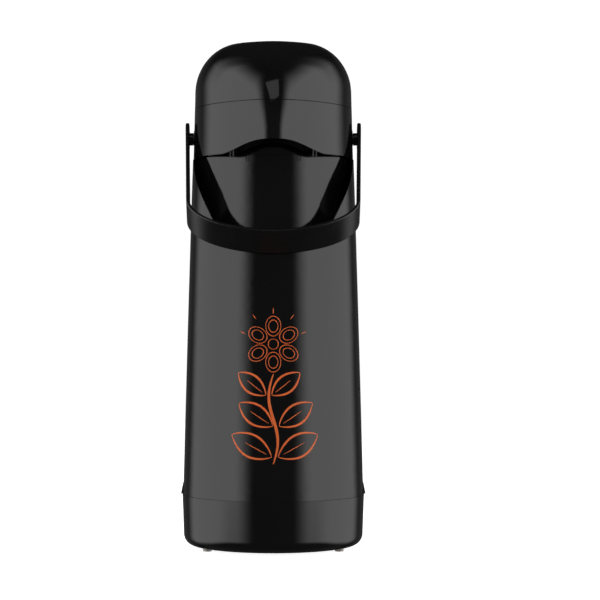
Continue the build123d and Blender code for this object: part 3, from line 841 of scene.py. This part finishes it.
@dataclass
class HeadGroup:
    """Housing, hood, pump and spout, with the soft bellows and its spring."""

    wardrobe: Wardrobe
    press_travel: float = 17.0 * MM
    bellows_wall: float = 1.0 * MM
    bellows_collar: float = 3.6 * MM
    bellows_ribs: int = 7
    bellows_fold: float = 4.0 * MM
    bellows_sides: int = 96
    rib_points: int = 24
    spring_wire: float = 0.7 * MM
    spring_turns: int = 8
    end_closing: float = 0.35
    coil_points: int = 60
    wire_sides: int = 12

    def build(self) -> None:
        """Dresses the nodes of the head and adds the bellows and the spring."""
        self.wardrobe.dress_nodes(GLOSS_BLACK, ("head_housing", "hood_cover"))
        self.wardrobe.dress_nodes(INNER_BLACK, ("pump_base", "bellows_clamp", "nozzle"))
        self.wardrobe.dress_nodes(TUBE_CLEAR, ("spout_tube",))
        self.wardrobe.dress_nodes(SILICONE_MILK, ("mouth_gasket", "tube_seal", "outlet_valve"))
        self.wardrobe.dress_nodes(STEEL_DRAWN, ("pump_screws",))
        self.build_bellows()
        self.build_spring()

    def add_soft(self, piece: bpy.types.Object, node: str, finish: Finish) -> None:
        """Puts a piece in the place of a node that shortens as the button goes down.

        Args:
            piece: The new piece.
            node: The node that it stands for.
            finish: Its finish.
        """
        self.wardrobe.dress(piece, finish)
        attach(piece, Body.HEAD.value)
        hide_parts(node)
        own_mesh(piece)
        log.info("piece %s: %d faces", piece.name, len(piece.data.polygons))

    def build_bellows(self) -> None:
        """Rubber bellows: a closed wall turned about its axis.

        Between straight collars the radius swings by a cosine, one swing a rib, and the inner line
        is the outer one drawn in by the wall.
        """
        low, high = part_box("bellows")
        centre = (low + high) / 2
        outer = (high.x - low.x) / 2
        inner = outer - self.bellows_fold
        share = np.linspace(0, 1, self.rib_points * self.bellows_ribs + 1)
        start, end = low.z + self.bellows_collar, high.z - self.bellows_collar
        height = np.concatenate([[low.z], start + (end - start) * share, [high.z]])
        swing = self.bellows_fold / 2 * (1 + np.cos(2 * np.pi * self.bellows_ribs * share))
        radius = np.concatenate([[inner], outer - swing, [inner]])
        loop_radius = np.concatenate([radius, radius[::-1] - self.bellows_wall])
        loop_height = np.concatenate([height, height[::-1]])
        turn = full_turn(self.bellows_sides)
        points = np.stack(
            [
                centre.x + np.cos(turn)[:, None] * loop_radius[None, :],
                centre.y + np.sin(turn)[:, None] * loop_radius[None, :],
                np.ones_like(turn)[:, None] * loop_height[None, :],
            ],
            axis=-1,
        )
        piece = grid_piece("bellows_rubber", points, close_across=True, close_along=True)
        self.add_soft(piece, "bellows", RUBBER_BLACK)

    def build_spring(self) -> None:
        """Return spring: a round wire along a helix that flattens at its ends.

        The climb mixes a straight line with half a cosine wave, so the first and last turns close
        up against their seats.
        """
        low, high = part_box("return_spring")
        centre = (low + high) / 2
        wire = self.spring_wire
        radius = (high.x - low.x) / 2 - wire
        share = np.linspace(0, 1, self.coil_points * self.spring_turns)
        wave = 0.5 - 0.5 * np.cos(np.pi * share)
        climb = self.end_closing * wave + (1 - self.end_closing) * share
        angle = 2 * np.pi * self.spring_turns * share
        path = np.stack(
            [
                centre.x + radius * np.cos(angle),
                centre.y + radius * np.sin(angle),
                low.z + wire + (high.z - low.z - 2 * wire) * climb,
            ],
            axis=-1,
        )
        out = np.stack([np.cos(angle), np.sin(angle), np.zeros_like(angle)], axis=-1)
        ahead = np.gradient(path, axis=0)
        ahead /= np.linalg.norm(ahead, axis=1, keepdims=True)
        up = np.cross(out, ahead)
        turn = full_turn(self.wire_sides)
        points = (
            path[:, None, :]
            + wire * np.cos(turn)[None, :, None] * out[:, None, :]
            + wire * np.sin(turn)[None, :, None] * up[:, None, :]
        )
        piece = grid_piece("spring_wire", points, close_across=True, caps=True)
        self.add_soft(piece, "return_spring", STEEL_SPRING)


@dataclass
class PressGroup:
    """Press button, pusher and inlet valve."""

    wardrobe: Wardrobe

    def build(self) -> None:
        """Dresses the nodes that go down with the button."""
        self.wardrobe.dress_nodes(GLOSS_BLACK, ("press_button",))
        self.wardrobe.dress_nodes(INNER_BLACK, ("pusher",))
        self.wardrobe.dress_nodes(SILICONE_MILK, ("inlet_valve",))


@dataclass
class HandleGroup:
    """The swinging strap."""

    wardrobe: Wardrobe

    def build(self) -> None:
        """Dresses the strap."""
        self.wardrobe.dress_nodes(STRAP_BLACK, ("handle",))


def smooth(value: np.ndarray, start: float, end: float) -> np.ndarray:
    """Rises from 0 at start to 1 at end: three squares less two cubes of the way between."""
    way = np.clip((value - start) / (end - start), 0, 1)
    return way**2 * (3 - 2 * way)


def mirrored_share(degrees: np.ndarray) -> np.ndarray:
    """Share of the light that the gloss mirrors, by Fresnel's two formulas for a clear skin.

    Args:
        degrees: Angles from square on.

    Returns:
        The share at each angle.
    """
    angle = np.radians(degrees)
    inside = np.sqrt(1 - (np.sin(angle) / GLOSS_INDEX) ** 2)
    across = (np.cos(angle) - GLOSS_INDEX * inside) / (np.cos(angle) + GLOSS_INDEX * inside)
    along = (GLOSS_INDEX * np.cos(angle) - inside) / (GLOSS_INDEX * np.cos(angle) + inside)
    return (across**2 + along**2) / 2


@dataclass
class Studio:
    """Camera, two tall bent softboxes, a small lamp over the camera, a pale floor and backdrop.

    Lengths are in metres and angles in degrees. A span is where a smooth step starts and where it
    is done. Azimuths count from the camera's side and elevations from the horizon.
    """

    # Camera: level, in front, with the object left of the middle
    eye_distance: float = 1.459
    eye_height: float = 0.1714
    lens: float = 126.0
    object_left_px: float = 26.7

    # Softboxes: a sphere round the object, with its middle at this height
    box_radius: float = 1.5
    box_centre: float = 0.2
    box_columns: int = 91
    box_rows: int = 75
    box_top: float = 89.5

    # Their light, and the azimuths at which it rises at the side and falls to the dim back
    box_light: float = 1.85
    back_light: float = 0.055
    side_span: tuple[float, float] = (24.0, 50.0)
    back_span: tuple[float, float] = (117.0, 138.0)
    back_lean: float = -4.5
    lean_span: tuple[float, float] = (2.0, 32.0)

    # Lower edge, and how much deeper it lies at the sides
    low_span: tuple[float, float] = (-30.0, -8.0)
    low_drop: float = 14.5
    drop_span: tuple[float, float] = (50.0, 100.0)

    # Upper edge, how much earlier it starts to fade at the sides, and that of the back
    high_span: tuple[float, float] = (42.0, 75.0)
    high_soft: float = 34.0
    soft_span: tuple[float, float] = (94.0, 116.0)
    back_high_span: tuple[float, float] = (5.0, 35.0)

    # Room and cloth outside the lamps, and how much dimmer the cloth is at the back and on top
    surround: float = 0.075
    back_dim: float = 0.8
    back_dim_span: tuple[float, float] = (30.0, 80.0)
    top_dim: float = 0.5
    top_dim_span: tuple[float, float] = (10.0, 60.0)

    # Lamp that leaves the patch on the brow
    lamp_rise: float = 53.0
    lamp_roll: float = 14.0
    lamp_distance: float = 1.3
    lamp_width: float = 0.44
    lamp_depth: float = 0.5
    lamp_light: float = 0.65

    # Floor and wall
    stage_colour: str = "f4f4f4"
    stage_roughness: float = 0.9
    wall_glow: float = 1.0
    floor_glow: float = 0.95
    floor_reach: float = 6.0
    floor_bend: float = 0.6
    floor_hole: float = 0.001
    floor_points: int = 8
    bend_points: int = 12
    stage_sides: int = 64

    def build(self) -> None:
        """Sets the camera, the lights and the stage."""
        bpy.context.scene.view_settings.view_transform = "Standard"
        self.set_camera()
        self.set_surround()
        self.add_softboxes()
        self.add_lamp()
        self.add_stage()

    def set_camera(self) -> None:
        """Adds the camera and shifts its frame, so that the object stands left of the middle."""
        data = bpy.data.cameras.new("camera")
        data.lens = self.lens
        data.shift_x = self.object_left_px / IMAGE_WIDTH_PX
        camera = add_object("camera", data)
        camera.location = (0, -self.eye_distance, self.eye_height)
        camera.rotation_euler = (math.radians(90), 0, 0)
        bpy.context.scene.camera = camera

    def set_surround(self) -> None:
        """Adds the dim grey room that the gloss mirrors below the softboxes."""
        world = bpy.data.worlds.new("room")
        world.use_nodes = True
        tree = world.node_tree
        tree.nodes.clear()
        settings = {"Color": linear(WHITE), "Strength": self.surround}
        glow = add_node(tree, "ShaderNodeBackground", settings)
        add_node(tree, "ShaderNodeOutputWorld", {}, {"Surface": glow.outputs["Background"]})
        bpy.context.scene.world = world

    def box_strength(self, azimuth: np.ndarray, elevation: np.ndarray) -> np.ndarray:
        """Light of the softboxes by direction from the object.

        The light is the sum of a side part, a back part and the cloth, each a product of smooth
        steps. The side part rises beside the camera and is divided by the share that the gloss
        mirrors at half the azimuth, so that the mirrored zone looks even, and behind it falls to
        the back part. That edge leans back with the elevation. The lower edge fades out below the
        horizon, further down at the sides, and the upper edge high up, more softly at the sides.
        The cloth is dimmer low at the back and high up.

        Args:
            azimuth: Degrees from the camera's side.
            elevation: Degrees above the horizon.

        Returns:
            The light, azimuths by elevations.
        """
        around, up = azimuth[:, None], elevation[None, :]
        thinned = mirrored_share(around / 2) / mirrored_share(np.zeros(1))
        behind = smooth(around + self.back_lean * smooth(up, *self.lean_span), *self.back_span)
        low = smooth(up + self.low_drop * smooth(around, *self.drop_span), *self.low_span)
        side_light = self.box_light * smooth(around, *self.side_span) / thinned * (1 - behind)
        high_start = self.high_span[0] - self.high_soft * smooth(around, *self.soft_span)
        side_light = side_light * low * (1 - smooth(up, high_start, self.high_span[1]))
        back_light = self.back_light * behind * low * (1 - smooth(up, *self.back_high_span))
        cloth = 1 - self.back_dim * behind * (1 - smooth(up, *self.back_dim_span))
        cloth = cloth * (1 - self.top_dim * smooth(up, *self.top_dim_span))
        return side_light + back_light + self.surround * cloth

    def add_softboxes(self) -> None:
        """Adds the softboxes left and right, each half of a sphere without its lowest part."""
        material = new_material("softbox_cloth")
        tree = material.node_tree
        light = add_node(tree, "ShaderNodeAttribute", {"attribute_name": "light"}).outputs["Fac"]
        glow = add_node(tree, "ShaderNodeEmission", {"Color": linear(WHITE)}, {"Strength": light})
        add_node(tree, "ShaderNodeOutputMaterial", {}, {"Surface": glow.outputs["Emission"]})
        azimuth = np.linspace(0, 180, self.box_columns)
        elevation = np.linspace(self.low_span[0] - self.low_drop, self.box_top, self.box_rows)
        strength = self.box_strength(azimuth, elevation)
        turn, rise = np.radians(azimuth)[:, None], np.radians(elevation)[None, :]
        for side, name in ((-1, "softbox_left"), (1, "softbox_right")):
            points = np.stack(
                [
                    side * self.box_radius * np.sin(turn) * np.cos(rise),
                    -self.box_radius * np.cos(turn) * np.cos(rise),
                    self.box_centre + self.box_radius * np.sin(rise) * np.ones_like(turn),
                ],
                axis=-1,
            )
            softbox = grid_piece(name, points[::-side])
            layer = softbox.data.attributes.new("light", "FLOAT", "POINT")
            layer.data.foreach_set("value", strength[::-side].ravel().astype(np.float32))
            softbox.data.materials.append(material)
            softbox.visible_camera = False

    def add_lamp(self) -> None:
        """Adds a lamp high over the camera, a little rolled, for the faint patch on the brow."""
        data = bpy.data.lights.new("brow_lamp", "AREA")
        data.shape = "RECTANGLE"
        data.size, data.size_y = self.lamp_width, self.lamp_depth
        data.energy = self.lamp_light * math.pi * self.lamp_width * self.lamp_depth
        lamp = add_object("brow_lamp", data)
        rise = math.radians(self.lamp_rise)
        head_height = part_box("head_housing")[1].z
        lamp.location = (
            0,
            -self.lamp_distance * math.cos(rise),
            head_height + self.lamp_distance * math.sin(rise),
        )
        tilt = Matrix.Rotation(math.radians(90) - rise, 3, "X")
        roll = Matrix.Rotation(math.radians(self.lamp_roll), 3, "Z")
        lamp.rotation_euler = (tilt @ roll).to_euler()
        lamp.visible_camera = False

    def add_stage(self) -> None:
        """Adds a pale floor with a quarter round up to a white wall, seen by the camera alone.

        Floor and wall are two profiles turned about the axis.
        """
        turn = np.linspace(0, math.pi / 2, self.bend_points)[1:]
        flat = self.floor_reach - self.floor_bend
        flat_radius = np.linspace(self.floor_hole, flat, self.floor_points)
        radius = np.concatenate([flat_radius, flat + self.floor_bend * np.sin(turn)])
        height = np.concatenate([0 * flat_radius, self.floor_bend * (1 - np.cos(turn))])
        self.stage_piece("floor", radius, height, self.floor_glow)
        wall_radius = np.array([self.floor_reach, self.floor_reach, self.floor_hole])
        wall_height = np.array([self.floor_bend, self.floor_reach, self.floor_reach])
        self.stage_piece("wall", wall_radius, wall_height, self.wall_glow)

    def stage_piece(self, name: str, radius: np.ndarray, height: np.ndarray, glow: float) -> None:
        """Turns a profile about the axis and paints it pale with an even glow of its own.

        Args:
            name: Name of the piece.
            radius: Radii of the profile.
            height: Heights of the profile.
            glow: Strength of its glow.
        """
        around = full_turn(self.stage_sides)[None, :]
        points = np.stack(
            [
                np.cos(around) * radius[:, None],
                np.sin(around) * radius[:, None],
                np.ones_like(around) * height[:, None],
            ],
            axis=-1,
        )
        piece = grid_piece(name, points, close_across=True)
        material = new_material(f"{name}_pale_paint")
        tree = material.node_tree
        settings = {
            "Base Color": linear(self.stage_colour),
            "Roughness": self.stage_roughness,
            "Emission Color": linear(WHITE),
            "Emission Strength": glow,
        }
        shader = add_node(tree, "ShaderNodeBsdfPrincipled", settings)
        add_node(tree, "ShaderNodeOutputMaterial", {}, {"Surface": shader.outputs["BSDF"]})
        piece.data.materials.append(material)
        piece.visible_glossy = False
        piece.visible_diffuse = False
        piece.visible_transmission = False


def main() -> None:
    """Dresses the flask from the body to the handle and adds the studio."""
    logging.basicConfig(level=logging.INFO, format="%(name)s: %(message)s")
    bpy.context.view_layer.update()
    wardrobe = Wardrobe()
    BodyGroup(wardrobe).build()
    HeadGroup(wardrobe).build()
    PressGroup(wardrobe).build()
    HandleGroup(wardrobe).build()
    Studio().build()


if __name__ == "__main__":
    main()
